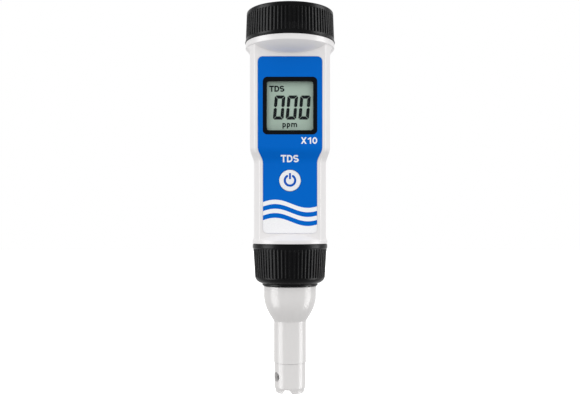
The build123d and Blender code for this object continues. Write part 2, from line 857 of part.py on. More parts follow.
def battery_cap():
    """The screw cap: a ribbed skirt, a thick top, and inside it a stud for the contact plate."""
    rim = z_neck + joint_line
    lip_top, side_top = rim + cap_lip, z_top - cap_edge
    side_r, top_r = cap_r - cap_lip_t, cap_r - cap_draft
    edge_mid = cap_edge * (1 - sqrt(0.5))
    edges = [
        Line((0, z_top), (top_r - cap_edge, z_top)),
        ThreePointArc((top_r - cap_edge, z_top), (top_r - edge_mid, z_top - edge_mid), (top_r, side_top)),
        Line((top_r, side_top), (side_r, lip_top)),
        Line((side_r, lip_top), (cap_r, rim + cap_rim_edge)),
        Line((cap_r, rim + cap_rim_edge), (cap_r - cap_rim_edge, rim)),
        Line((cap_r - cap_rim_edge, rim), (0, rim)),
        Line((0, rim), (0, z_top)),
    ]
    cap = turned(edges)
    seal_room = neck_r - press_gap + seal_t / 2 + seat_gap
    room_top = z_neck + seal_up + seal_t / 2 + 2 * seat_gap
    cap -= turned_polygon(
        (0, rim),
        (seal_room, rim),
        (seal_room, room_top),
        (cap_bore_r, room_top + seal_room - cap_bore_r),
        (cap_bore_r, z_ceiling - cap_bore_edge),
        (cap_bore_r - cap_bore_edge, z_ceiling),
        (0, z_ceiling),
    )
    cap -= grooves(side_r, top_r, lip_top, side_top - cap_band, cap_groove, cap_rib_count)
    cap += rod(stud_boss_r, z_ceiling - stud_boss_height, z_ceiling)
    stud_foot = z_plate - 2 * run_gap
    cap += rod(stud_r, stud_foot, z_ceiling)
    return cap + rod(stud_head_r, stud_foot - stud_head_t, stud_foot)


def collar_nut():
    """The ribbed nut: a plain lip, a conical ribbed skirt and a web that carries the module."""
    foot, lip_foot = z_collar, z_collar + collar_height - collar_lip_height
    ribs_foot, top = z_collar + collar_rib_up, z_collar + collar_height
    low, high = ribs_foot + 2 * collar_edge, lip_foot - 1.5 * collar_edge
    hole = barrel_r + run_gap
    flat, ring = hole + collar_hole_edge, (hole + collar_hole_edge + collar_ring[0], foot + collar_ring[1])
    step = (ring[0] + collar_step[0], ring[1] + collar_step[1])
    belly = (collar_low_r - collar_belly[0], ribs_foot - collar_belly[1])
    edges = [
        Line((0, foot), (flat, foot)),
        Line((flat, foot), (ring[0], foot + collar_ring[0])),
        Line((ring[0], foot + collar_ring[0]), ring),
        Line(ring, step),
        ThreePointArc(step, belly, (collar_low_r, low)),
        Line((collar_low_r, low), (collar_high_r, lip_foot)),
        Line((collar_high_r, lip_foot), (collar_lip_r, lip_foot + collar_edge)),
        Line((collar_lip_r, lip_foot + collar_edge), (collar_lip_r, top - collar_edge)),
        Line((collar_lip_r, top - collar_edge), (collar_lip_r - collar_edge, top)),
        Line((collar_lip_r - collar_edge, top), (0, top)),
        Line((0, top), (0, foot)),
    ]
    nut = turned(edges)
    nut -= rod(hole, foot, top)
    nut -= rod(collar_bore_r, foot + collar_web, top)
    return nut - grooves(collar_low_r, collar_high_r, low, high, collar_groove, collar_rib_count)


def electrode_body():
    """Flange, bulb and stem in one moulding, hollow for the pins and their leads."""
    drop, width = bulb_height, bulb_r - stem_r
    leave = (stem_r + bulb_leave[0] * width, z_bulb + bulb_leave[1] * drop)
    turn_in = (bulb_r, z_land - bulb_side * drop)
    edges = [
        Line((0, z_stem - spigot_length), (spigot_r, z_stem - spigot_length)),
        Line((spigot_r, z_stem - spigot_length), (spigot_r, z_stem)),
        Line((spigot_r, z_stem), (stem_r, z_stem)),
        Line((stem_r, z_stem), (stem_r, z_bulb)),
        Bezier((stem_r, z_bulb), leave, turn_in, (bulb_r, z_land)),
        Line((bulb_r, z_land), (bulb_r, z_land + land_height)),
        Line((bulb_r, z_land + land_height), (barrel_r, z_land + land_height)),
        Line((barrel_r, z_land + land_height), (barrel_r, z_flange)),
        Line((barrel_r, z_flange), (flange_r, z_flange)),
        Line((flange_r, z_flange), (flange_r, z_flange + flange_t)),
        Line((flange_r, z_flange + flange_t), (module_plug_r, z_flange + flange_t)),
        Line((module_plug_r, z_flange + flange_t), (module_plug_r, z_module_top)),
        Line((module_plug_r, z_module_top), (0, z_module_top)),
        Line((0, z_module_top), (0, z_stem - spigot_length)),
    ]
    body = turned(edges)
    chamber_r = barrel_r - barrel_wall
    body -= turned_polygon(
        (0, z_stem - spigot_length),
        (stem_bore_r, z_stem - spigot_length),
        (stem_bore_r, z_bulb + 1),
        (chamber_r, z_land),
        (chamber_r, z_module_top - module_top_wall),
        (0, z_module_top - module_top_wall),
    )
    body -= guard_seal_groove()
    for x in plug_pin_places():
        body -= rod(plug_pin_r, z_module_top - module_top_wall, z_module_top, x)
    return body


def guard_seal_groove():
    middle = z_stem - spigot_length / 2
    half = guard_seal_t / 2 + press_gap
    low, high = middle - half, middle + half
    return rod(spigot_r + 1, low, high) - rod(guard_seal_core(), low, high)


def guard_seal_core():
    """The radius that the ring seal on the spigot sits on."""
    return spigot_r - guard_seal_t - press_gap


def guard_seal():
    middle_r = guard_seal_core() + press_gap + guard_seal_t / 2
    return ring_seal(middle_r, guard_seal_t, z_stem - spigot_length / 2)


def module_seal():
    """The ring between the flange and the end of the bottom neck."""
    middle = (foot_neck_r + foot_bore_r) / 2
    return ring_seal(middle, module_seal_t, z_flange + flange_t + module_seal_t / 2)


def plug_pin_places():
    middle = (plug_pin_count - 1) / 2
    return [(number - middle) * plug_pin_pitch for number in range(plug_pin_count)]


def plug_pins():
    low = z_module_top - module_top_wall - plug_pin_tail
    return [rod(plug_pin_r, low, z_module_top + plug_pin_reach, x) for x in plug_pin_places()]


def electrode_socket():
    """The block on the board's tongue that takes the plug pins."""
    top = z_socket + socket_height
    half = socket_width / 2
    socket = block(-half, half, y_board_back, y_board_back + socket_depth, z_socket, top)
    for x in plug_pin_places():
        socket -= rod(plug_pin_r + run_gap, z_socket, top - 2, x)
    return socket


def probe_insulator():
    """The plug in the end of the stem that holds the three pins."""
    low = z_stem - spigot_length
    plug = rod(spigot_r, low - 0.8, low) + rod(stem_bore_r, low, low + insulator_length)
    for side in (-1, 1):
        plug -= rod(pin_r, low - 1, low + insulator_length, side * pin_spread)
    return plug - rod(sensor_r, low - 1, low + insulator_length, 0, pin_spread)


def pin(radius, tip, x, y):
    """An upright pin with a rounded tip."""
    top = z_stem - spigot_length + insulator_length + pin_tail
    shaft = rod(radius, tip, top, x, y)
    return fillet(shaft.faces().sort_by(Axis.Z)[0].edges(), 0.6 * radius)


def electrode_pins():
    return [pin(pin_r, pin_recess, side * pin_spread, 0) for side in (-1, 1)]


def temperature_sensor():
    return pin(sensor_r, sensor_recess, 0, pin_spread)


def probe_guard():
    """The sleeve on the tip: a tapered foot, two side holes and a notch across its end."""
    top = guard_length - joint_line
    taper_r = guard_r - guard_taper
    foot, taper_foot = (taper_r - guard_wall_foot, 0), (taper_r, guard_foot_height)
    edges = [
        Line((0, 0), foot),
        ThreePointArc(foot, (taper_r - 0.27 * guard_wall_foot, 0.28 * guard_foot_height), taper_foot),
        Line(taper_foot, (guard_r, guard_taper_height)),
        Line((guard_r, guard_taper_height), (guard_r, top)),
        Line((guard_r, top), (0, top)),
        Line((0, top), (0, 0)),
    ]
    sleeve = turned(edges) - rod(guard_bore_r, 0, top)
    sleeve -= rod(spigot_r + run_gap, guard_length - spigot_length - 1, top)
    hole = Plane((0, 2 * stem_r, guard_hole_up), (1, 0, 0), (0, -1, 0)) * Circle(guard_hole_r)
    sleeve -= Rot(0, 0, guard_hole_turn) * extrude(hole, 4 * stem_r)
    corners = [(-notch_foot / 2, -0.01), (notch_foot / 2, -0.01)]
    corners += [(notch_top / 2, notch_height), (-notch_top / 2, notch_height)]
    notch = facing(make_face(Polyline(*corners, close=True)), -2 * stem_r, 2 * stem_r)
    return sleeve - Rot(0, 0, notch_turn) * notch


pieces = [
    housing, front_label, display_bezel, display_lens, lcd_panel, lcd_holder, lcd_connector_strips,
    circuit_board, controller_chip, board_components, power_key, switch_body, switch_plunger,
    battery_holder, holder_screws, button_cells, battery_springs, contact_plate, battery_cap_seal,
    battery_cap, electrode_socket, plug_pins, module_seal, electrode_body, probe_insulator,
    electrode_pins, temperature_sensor, guard_seal, collar_nut, probe_guard,
]

os.makedirs("parts", exist_ok=True)
for piece in pieces:
    shape = piece()
    if isinstance(shape, list):
        shape = Compound(children=shape)
    export_step(shape, f"parts/{piece.__name__}.step")
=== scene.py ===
import bmesh
import bpy
import json
from math import cos, pi, radians, sin, sqrt, tau
from mathutils import Matrix, Vector
from mathutils.bvhtree import BVHTree


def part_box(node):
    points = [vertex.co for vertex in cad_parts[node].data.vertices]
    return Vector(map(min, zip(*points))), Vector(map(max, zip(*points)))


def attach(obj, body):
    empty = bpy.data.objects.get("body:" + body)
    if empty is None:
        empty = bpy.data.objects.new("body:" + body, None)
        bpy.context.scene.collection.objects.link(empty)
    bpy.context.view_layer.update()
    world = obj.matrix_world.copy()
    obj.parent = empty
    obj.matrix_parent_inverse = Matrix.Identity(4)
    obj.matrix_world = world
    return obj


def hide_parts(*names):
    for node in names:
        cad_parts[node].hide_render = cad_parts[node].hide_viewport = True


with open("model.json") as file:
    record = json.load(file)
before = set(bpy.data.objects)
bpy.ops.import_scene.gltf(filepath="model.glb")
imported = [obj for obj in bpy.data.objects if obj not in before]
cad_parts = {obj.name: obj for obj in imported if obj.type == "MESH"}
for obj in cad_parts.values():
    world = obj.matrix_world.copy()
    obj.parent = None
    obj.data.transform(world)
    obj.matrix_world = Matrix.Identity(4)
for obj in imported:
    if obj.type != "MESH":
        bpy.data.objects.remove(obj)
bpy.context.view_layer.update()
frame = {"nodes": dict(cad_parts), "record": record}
mm = 0.001

# Colours, as seen, from 0 to 255
white_body = (235, 233, 233)
white_key = (240, 241, 244)
white_ink = (249, 249, 251)
module_white = (225, 223, 222)
inner_white = (216, 214, 206)
blue_film = (0, 103, 203)
blue_ink = (0, 86, 190)
black_shell = (3, 3, 5)
black_frame = (9, 12, 16)
display_grey = (178, 199, 185)
display_ink = (22, 28, 30)
window_tint = (24, 28, 28)
window_wipe = (34, 38, 38)
resin_grey = (44, 44, 46)
chip_grey = (30, 30, 32)
rubber_black = (20, 20, 21)
rubber_bloom = (38, 38, 38)
board_lacquer = (8, 66, 34)
board_track = (22, 104, 52)
steel_grey = (196, 198, 200)
cell_grey = (206, 206, 204)
spring_grey = (204, 200, 190)
brass_gold = (222, 186, 104)
can_grey = (190, 192, 196)
floor_grey = (188, 188, 188)

# The camera, fitted to the arcs of the rings
eye_height = 74.5 * mm
eye_distance = 346.9 * mm
picture_width = 580
focal_pixels = 762
horizon_below_middle = 27.8

# The room; its floor lies low enough for the nut, the module and the guard to come down
floor_level = -26.5 * mm
floor_half = 3
floor_glow = 0.4
glow_near, glow_far = 20 * mm, 200 * mm
room_level = 1.22
lamp_distance, lamp_height, lamp_length, lamp_level = 1.0, 0.15, 1.6, 8
# Name, turn from the front in degrees and width of each lamp
lamps = (("left_softbox", -72, 0.66), ("right_softbox", 85, 0.55))

# Ribs of the cap and the nut, and threads
groove_depth, groove_wall, bar_crown = 0.35 * mm, 0.16 * mm, 0.1 * mm
thread_pitch = 3 * mm

# Print: half its thickness, and how far a letter's tail hangs, as a share of its height
ink = 0.02 * mm
tail = 0.36

# Corners of the frame's pieces that others are fitted to
cap_low, cap_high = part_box("battery_cap")
collar_low, collar_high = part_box("collar_nut")
glass_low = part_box("lcd_panel")[0]
key_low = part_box("power_key")[0]
label_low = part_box("front_label")[0]


class Value:
    """A socket of a node tree that can stand in Python arithmetic."""

    def __init__(self, tree, socket):
        self.tree = tree
        self.socket = socket

    def __add__(self, other):
        return self.tree.math("ADD", self, other)

    def __sub__(self, other):
        return self.tree.math("SUBTRACT", self, other)

    def __rsub__(self, other):
        return self.tree.math("SUBTRACT", other, self)

    def __mul__(self, other):
        return self.tree.math("MULTIPLY", self, other)

    def __truediv__(self, other):
        return self.tree.math("DIVIDE", self, other)

    def __rtruediv__(self, other):
        return self.tree.math("DIVIDE", other, self)

    def __neg__(self):
        return self * -1

    __radd__ = __add__
    __rmul__ = __mul__


class Tree:
    """Adds nodes to a node tree, with their settings first and then their sockets."""

    def __init__(self, tree):
        self.tree = tree

    def add(self, kind, settings=None, inputs=None, output=0):
        node = self.tree.nodes.new(kind)
        for name, value in (settings or {}).items():
            setattr(node, name, value)
        for key, value in (inputs or {}).items():
            if isinstance(value, Value):
                self.tree.links.new(value.socket, node.inputs[key])
            else:
                node.inputs[key].default_value = value
        return Value(self, node.outputs[output])

    def math(self, operation, a, b=0):
        return self.add("ShaderNodeMath", {"operation": operation}, {0: a, 1: b})

    def ramp(self, value, low, high, out_low=0, out_high=1, smooth=False):
        shape = "SMOOTHSTEP" if smooth else "LINEAR"
        ends = {"From Min": low, "From Max": high, "To Min": out_low, "To Max": out_high}
        settings = {"interpolation_type": shape}
        return self.add("ShaderNodeMapRange", settings, {"Value": value, **ends})

    def axes(self, place):
        """The x, y and z of a place."""
        parts = self.add("ShaderNodeSeparateXYZ", inputs={0: place}).socket.node
        return [Value(self, socket) for socket in parts.outputs]


def linear(colour):
    """A linear colour with alpha from a colour as it is seen."""
    shares = [part / 255 for part in colour]
    return [s / 12.92 if s <= 0.04045 else ((s + 0.055) / 1.055) ** 2.4 for s in shares] + [1]


def darker(colour, share):
    return tuple(part * share for part in colour)


def swing(pattern, reach):
    """A pattern from 0 to 1, set about nought and scaled to a reach."""
    return (pattern - 0.5) * reach


class Finish(Tree):
    """A material with one Principled shader."""

    def __init__(self, name, **fixed):
        self.material = bpy.data.materials.new(name)
        self.material.use_nodes = True
        super().__init__(self.material.node_tree)
        self.shader = self.tree.nodes["Principled BSDF"]
        for socket, value in fixed.items():
            self.shader.inputs[socket.replace("_", " ")].default_value = value
        self.place = self.add("ShaderNodeTexCoord", output="Object")

    def feed(self, socket, value):
        self.tree.links.new(value.socket, self.shader.inputs[socket])

    def noise(self, scale, detail, place=None, roughness=0.5):
        return self.add("ShaderNodeTexNoise", inputs={
            "Vector": place or self.place, "Scale": scale, "Detail": detail,
            "Roughness": roughness})

    def colour(self, factor, first, second):
        """Feeds the base colour with a blend of two colours."""
        sockets = {0: factor, 6: linear(first), 7: linear(second)}
        blend = self.add("ShaderNodeMix", {"data_type": "RGBA"}, sockets, output=2)
        self.feed("Base Color", blend)

    def stretched(self, scale):
        return self.add("ShaderNodeMapping", inputs={"Vector": self.place, "Scale": scale})

    def bump(self, height, strength):
        sockets = {"Strength": strength, "Distance": 0.05 * mm, "Height": height}
        self.feed("Normal", self.add("ShaderNodeBump", inputs=sockets))


def moulded(name, colour, roughness, unevenness, grain, grain_scale=2600, sheen=0.2, **fixed):
    """Moulded plastic: a faint cloud in its tone, an uneven gloss and a fine skin."""
    finish = Finish(name, **fixed)
    cloud = finish.noise(scale=45, detail=2)
    skin = finish.noise(grain_scale, detail=3)
    smear = finish.noise(scale=300, detail=4, roughness=0.6)
    tone = finish.ramp(cloud, 0.3, 0.7, smooth=True)
    finish.colour(tone, darker(colour, 1 - unevenness), colour)
    finish.feed("Roughness", roughness + swing(smear, sheen) + swing(skin, 0.05))
    finish.bump(skin + smear * 0.6, grain)
    return finish.material


def printed(name, colour, roughness, gloss):
    """Screen-printed ink: nearly even, with the fine mottle of the screen."""
    finish = Finish(name, Specular_IOR_Level=gloss)
    mottle = finish.noise(scale=1800, detail=2)
    finish.colour(finish.ramp(mottle, 0.25, 0.75), darker(colour, 0.965), colour)
    finish.feed("Roughness", roughness + swing(mottle, 0.12))
    finish.bump(mottle, 0.03)
    return finish.material


def film(name, colour):
    """Satin label film: a broad sheen change and a very fine leather grain."""
    finish = Finish(name, Specular_IOR_Level=0.03)
    cloud = finish.noise(scale=26, detail=2)
    grain = finish.noise(scale=3200, detail=2)
    finish.colour(finish.ramp(cloud, 0.3, 0.7), darker(colour, 0.97), colour)
    finish.feed("Roughness", 0.34 + swing(cloud, 0.1) + swing(grain, 0.14))
    finish.bump(grain, 0.06)
    return finish.material


def metal(name, colour, roughness, brushed=(1, 1, 1)):
    """Bright metal with drawn or turned marks."""
    finish = Finish(name, Metallic=1)
    marks = finish.noise(scale=1500, detail=4, place=finish.stretched(brushed), roughness=0.65)
    stain = finish.noise(scale=90, detail=3)
    finish.colour(finish.ramp(stain, 0.35, 0.75), darker(colour, 0.9), colour)
    finish.feed("Roughness", roughness + swing(marks, 0.25))
    finish.bump(marks, 0.08)
    return finish.material


def rubber(name):
    """Black rubber with a dull bloom."""
    finish = Finish(name)
    bloom = finish.noise(scale=500, detail=4)
    finish.colour(finish.ramp(bloom, 0.4, 0.8), rubber_black, rubber_bloom)
    finish.feed("Roughness", 0.62 + swing(bloom, 0.2))
    finish.bump(bloom, 0.15)
    return finish.material


def display_face(name):
    """The display's pale polariser: a soft mottle and a fine diffusing grain."""
    finish = Finish(name, Specular_IOR_Level=0.15)
    mottle = finish.noise(scale=140, detail=3)
    grain = finish.noise(scale=5200, detail=1)
    finish.colour(finish.ramp(mottle, 0.3, 0.7), darker(display_grey, 0.975), display_grey)
    finish.feed("Roughness", 0.5 + swing(grain, 0.2))
    finish.bump(grain, 0.04)
    return finish.material


def clear_window(name):
    """A clear plate: almost invisible from in front, with wipe marks in its gloss."""
    finish = Finish(name, Alpha=0.03)
    wipe = finish.noise(scale=220, detail=4)
    finish.colour(wipe, window_tint, window_wipe)
    finish.feed("Roughness", 0.03 + wipe * 0.05)
    return finish.material


def laminate(name):
    """Circuit board: green lacquer over copper tracks that run up and across."""
    finish = Finish(name)
    x, _, z = finish.axes(finish.place)
    pitch = 1.9 * mm
    patches = {"Vector": finish.place, "Scale": 210}
    patch = finish.add("ShaderNodeTexVoronoi", {"feature": "F1", "distance": "CHEBYCHEV"},
                       patches, output="Color")
    turn = finish.ramp(patch, 0.5, 0.501)
    lane = finish.math("PINGPONG", x / pitch * turn + z / pitch * (1 - turn), 0.5)
    track = finish.ramp(lane, 0.36, 0.38)
    finish.colour(track, board_lacquer, board_track)
    finish.feed("Roughness", 0.3 + track * 0.08)
    finish.bump(track, 0.2)
    return finish.material


# A plastic's numbers are its roughness, its unevenness and its grain; a metal's its roughness
finishes = {
    "white": moulded("white_plastic", white_body, 0.3, 0.012, 0.01, sheen=0.05,
                     Specular_IOR_Level=0.26),
    "module": moulded("module_plastic", module_white, 0.22, 0.012, 0.01, sheen=0.05,
                      Specular_IOR_Level=0.24),
    "key": moulded("key_plastic", white_key, 0.34, 0.012, 0.02, Specular_IOR_Level=0.3),
    "black": moulded("black_plastic", black_shell, 0.29, 0.25, 0.01, grain_scale=1700,
                     Specular_IOR_Level=0.09),
    "frame": moulded("frame_plastic", black_frame, 0.3, 0.2, 0.03, Specular_IOR_Level=0.05),
    "inner": moulded("inner_plastic", inner_white, 0.5, 0.04, 0.08),
    "insulator": moulded("insulator_resin", resin_grey, 0.5, 0.2, 0.12),
    "chip": moulded("chip_plastic", chip_grey, 0.6, 0.2, 0.2),
    "film": film("blue_film", blue_film),
    "white_ink": printed("white_ink", white_ink, roughness=0.38, gloss=0.5),
    "blue_ink": printed("blue_ink", blue_ink, roughness=0.4, gloss=0.08),
    "display": display_face("display_glass"),
    "display_ink": printed("display_ink", display_ink, roughness=0.5, gloss=0.05),
    "window": clear_window("clear_window"),
    "rubber": rubber("black_rubber"),
    "board": laminate("board_laminate"),
    "steel": metal("steel", steel_grey, 0.26, brushed=(1, 1, 0.05)),
    "cell": metal("cell_steel", cell_grey, 0.2, brushed=(1, 1, 0.1)),
    "spring": metal("spring_metal", spring_grey, 0.24, brushed=(0.1, 1, 1)),
    "brass": metal("gold_brass", brass_gold, 0.24, brushed=(1, 1, 0.1)),
    "can": metal("component_metal", can_grey, 0.3),
}


def object_from(mesh_data, name, body, finish_name):
    """Links a mesh as a piece with its material and body."""
    piece = bpy.data.objects.new(name, mesh_data)
    bpy.context.scene.collection.objects.link(piece)
    mesh_data.name = name
    mesh_data.materials.clear()
    mesh_data.materials.append(finishes[finish_name])
    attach(piece, body)
    return piece


def loose(mesh_data):
    """An object that only carries a mesh through its modifiers."""
    piece = bpy.data.objects.new("in_work", mesh_data)
    bpy.context.scene.collection.objects.link(piece)
    return piece


def finished_mesh(piece):
    """The piece's evaluated mesh as plain data; the piece itself is removed."""
    evaluated = piece.evaluated_get(bpy.context.evaluated_depsgraph_get())
    mesh_data = bpy.data.meshes.new_from_object(evaluated)
    bpy.data.objects.remove(piece)
    return mesh_data


def shaded(mesh_data):
    """Shades a mesh smoothly and keeps its sharp edges."""
    mesh_data.shade_smooth()
    mesh_data.set_sharp_from_angle(angle=radians(40))


def soften(mesh_data, width):
    """A copy of a mesh with its sharp edges rounded."""
    shaded(mesh_data)
    piece = loose(mesh_data)
    bevel = piece.modifiers.new("edge", "BEVEL")
    bevel.width = width
    bevel.segments = 2
    bevel.limit_method = "ANGLE"
    bevel.angle_limit = radians(32)
    even = piece.modifiers.new("even", "WEIGHTED_NORMAL")
    even.keep_sharp = True
    return finished_mesh(piece)


def merged_copy(node):
    """The mesh of a CAD node with its loose triangles joined into faces."""
    mesh_data = frame["nodes"][node].data.copy()
    shape = bmesh.new()
    shape.from_mesh(mesh_data)
    bmesh.ops.remove_doubles(shape, verts=shape.verts, dist=0.0005 * mm)
    bmesh.ops.dissolve_limit(shape, angle_limit=radians(0.5), verts=shape.verts,
                             edges=shape.edges)
    shape.to_mesh(mesh_data)
    shape.free()
    return mesh_data


def body_of(node):
    bodies = frame["record"]["behaviour"]["bodies"]
    return next(body for body, members in bodies.items() if node in members)


def dressed(node, finish_name, edge):
    """A softened copy of a CAD node in its place."""
    mesh_data = soften(merged_copy(node), edge)
    piece = object_from(mesh_data, node + "_skin", body_of(node), finish_name)
    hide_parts(node)


def painted(node, finish_name):
    """A CAD node shown as it is, with a finish of its own."""
    materials = frame["nodes"][node].data.materials
    materials.clear()
    materials.append(finishes[finish_name])


def lathe(profile, turns, closed):
    """A turned mesh from an outline of radii and heights; turns are shares of a circle."""
    shape = bmesh.new()
    rings = []
    for radius, height in profile:
        if radius == 0:
            rings.append([shape.verts.new((0, 0, height))] * len(turns))
        else:
            spots = [(radius * sin(tau * t), -radius * cos(tau * t), height) for t in turns]
            rings.append([shape.verts.new(spot) for spot in spots])
    if closed:
        rings.append(rings[0])
    for first, second in zip(rings, rings[1:]):
        for column in range(len(turns)):
            after = (column + 1) % len(turns)
            corners = [first[column], first[after], second[after], second[column]]
            face = list(dict.fromkeys(corners))
            if len(face) > 2:
                shape.faces.new(face)
    bmesh.ops.recalc_face_normals(shape, faces=shape.faces)
    mesh_data = bpy.data.meshes.new("turned")
    shape.to_mesh(mesh_data)
    shape.free()
    return mesh_data


def oval(centre, reach, start, end, steps):
    """Points on an ellipse, between two angles in degrees."""
    angles = [radians(start + (end - start) * step / steps) for step in range(steps + 1)]
    return [(centre[0] + reach[0] * cos(a), centre[1] + reach[1] * sin(a)) for a in angles]


def arc(centre, radius, start, end, steps):
    return oval(centre, (radius, radius), start, end, steps)


def three_point_arc(start, middle, end, steps):
    """Points on the arc from start to end through middle, in radius and height."""
    (ax, az), (bx, bz), (cx, cz) = start, middle, end
    d = 2 * (ax * (bz - cz) + bx * (cz - az) + cx * (az - bz))
    a, b, c = ax**2 + az**2, bx**2 + bz**2, cx**2 + cz**2
    centre = Vector(((a * (bz - cz) + b * (cz - az) + c * (az - bz)) / d,
                     (a * (cx - bx) + b * (ax - cx) + c * (bx - ax)) / d))
    first, last = Vector(start) - centre, Vector(end) - centre
    sweep = first.angle_signed(last)
    turns = [Matrix.Rotation(-sweep * step / steps, 2) for step in range(steps + 1)]
    return [tuple(centre + turn @ first) for turn in turns]


class Growth(Tree):
    """A geometry tree with named sizes, which ends in one material."""

    def __init__(self, name, *size_names):
        super().__init__(bpy.data.node_groups.new(name, "GeometryNodeTree"))
        face = self.tree.interface
        face.new_socket("Geometry", in_out="INPUT", socket_type="NodeSocketGeometry")
        face.new_socket("Geometry", in_out="OUTPUT", socket_type="NodeSocketGeometry")
        for size_name in size_names:
            face.new_socket(size_name, in_out="INPUT", socket_type="NodeSocketFloat")
        entry = self.tree.nodes.new("NodeGroupInput")
        self.size = {socket.name: Value(self, socket) for socket in entry.outputs if socket.name}

    def end(self, geometry, material):
        real = self.add("GeometryNodeRealizeInstances", inputs={0: geometry})
        sockets = {"Geometry": real, "Material": material}
        coated = self.add("GeometryNodeSetMaterial", inputs=sockets)
        leave = self.tree.nodes.new("NodeGroupOutput")
        self.tree.links.new(coated.socket, leave.inputs[0])
        return self.tree


def rib_tree(material):
    """Sinks upright grooves with round ends into a turned skirt."""
    tree = Growth("skirt_ribs", "Ribs", "Groove Width", "Wall", "Depth", "Crown", "Foot", "Head")
    size = tree.size
    x, y, z = tree.axes(tree.add("GeometryNodeInputPosition"))
    radius = tree.math("SQRT", x * x + y * y)
    phase = tree.math("FRACT", tree.math("ARCTAN2", x, -y) * size["Ribs"] / tau) - 0.5
    across = tree.math("ABSOLUTE", phase) / size["Ribs"] * tau * radius

    half = size["Groove Width"] / 2
    middle = (size["Foot"] + size["Head"]) / 2
    straight = (size["Head"] - size["Foot"]) / 2 - half
    beyond = tree.math("MAXIMUM", tree.math("ABSOLUTE", z - middle) - straight, 0)
    reach = tree.math("SQRT", across * across + beyond * beyond)
    groove = tree.ramp(reach, half - size["Wall"], half, 1, 0, smooth=True) * size["Depth"]

    bar = pi / size["Ribs"] * radius
    from_crown = tree.ramp(across, half, bar, 1, 0)
    within = tree.ramp(beyond, 0, half, 1, 0)
    sink = groove + from_crown * from_crown * size["Crown"] * within

    # Only what faces outwards sinks, so the bore and the top stay as they are
    outward = tree.add("ShaderNodeCombineXYZ", inputs={0: x / radius, 1: y / radius, 2: 0})
    facing = tree.add("GeometryNodeInputNormal")
    turned_out = tree.add("ShaderNodeVectorMath", {"operation": "DOT_PRODUCT"},
                          {0: outward, 1: facing}, output=1)
    outside = tree.math("GREATER_THAN", turned_out, 0.5)
    shift = tree.add("ShaderNodeVectorMath", {"operation": "SCALE"},
                     {0: outward, 3: -(sink * outside)})
    sockets = {"Geometry": size["Geometry"], "Offset": shift}
    return tree.end(tree.add("GeometryNodeSetPosition", inputs=sockets), material)


def thread_tree(material):
    """A raised screw thread: a round-cornered ridge swept along a helix."""
    tree = Growth("screw_thread", "Turns", "Radius", "Pitch", "Foot", "Ridge")
    size = tree.size
    helix = tree.add("GeometryNodeCurveSpiral", inputs={
        "Resolution": 96, "Rotations": size["Turns"], "Start Radius": size["Radius"],
        "End Radius": size["Radius"], "Height": size["Turns"] * size["Pitch"]})
    ridge = tree.add("GeometryNodeCurvePrimitiveCircle", {"mode": "RADIUS"},
                     {"Resolution": 8, "Radius": size["Ridge"]})
    swept = tree.add("GeometryNodeCurveToMesh", inputs={
        "Curve": helix, "Profile Curve": ridge, "Fill Caps": True})
    lift = tree.add("ShaderNodeCombineXYZ", inputs={2: size["Foot"]})
    sockets = {"Geometry": swept, "Translation": lift}
    return tree.end(tree.add("GeometryNodeTransform", inputs=sockets), material)


def grown(mesh_data, group, **sizes):
    """A mesh after a geometry tree, with the tree's named inputs set."""
    piece = loose(mesh_data)
    modifier = piece.modifiers.new("grow", "NODES")
    modifier.node_group = group
    for item in group.interface.items_tree:
        if item.in_out == "INPUT" and item.name in sizes:
            modifier[item.identifier] = float(sizes[item.name])
    return finished_mesh(piece)


ribbed = rib_tree(finishes["black"])
threaded = {name: thread_tree(finishes[name]) for name in ("white", "black")}


def rib_turns(count, groove, radius):
    """Turns, as shares of a circle, with a column of points at each edge of each groove."""
    edge = groove / 2 / (tau * radius / count)
    beside, bar_middle = edge + 0.04, 0.5
    # From the middle of a groove up its wall, then over half a bar
    half = [edge * share for share in (0, 0.35, 0.66, 0.86, 1)]
    half += [beside, (beside + bar_middle) / 2, bar_middle]
    phases = [-phase for phase in half[:0:-1]] + half[:-1]
    return [(number + 0.5 + phase) / count for number in range(count) for phase in phases]


def skirt(foot, head, radius_of, half):
    """An outline up a skirt, with rows of points that follow the round ends of a groove."""
    end_steps, run_steps = 5, 8
    ends = [half * (1 - cos(pi / 2 * step / end_steps)) for step in range(end_steps + 1)]
    low = [foot + height for height in ends]
    high = [head - height for height in reversed(ends)]
    run = [low[-1] + (high[0] - low[-1]) * step / run_steps for step in range(1, run_steps)]
    return [(radius_of(z), z) for z in low + run + high]


def ribbed_piece(name, node, body, profile, ribs, groove, side_r, foot, head, closed=False):
    """Turns an outline and sinks the grooves between its ribs from foot to head."""
    sizes = {"Ribs": ribs, "Groove Width": groove, "Foot": foot, "Head": head,
             "Wall": groove_wall, "Depth": groove_depth, "Crown": bar_crown}
    mesh_data = grown(lathe(profile, rib_turns(ribs, groove, side_r), closed), ribbed, **sizes)
    shaded(mesh_data)
    piece = object_from(mesh_data, name, body, "black")
    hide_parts(node)


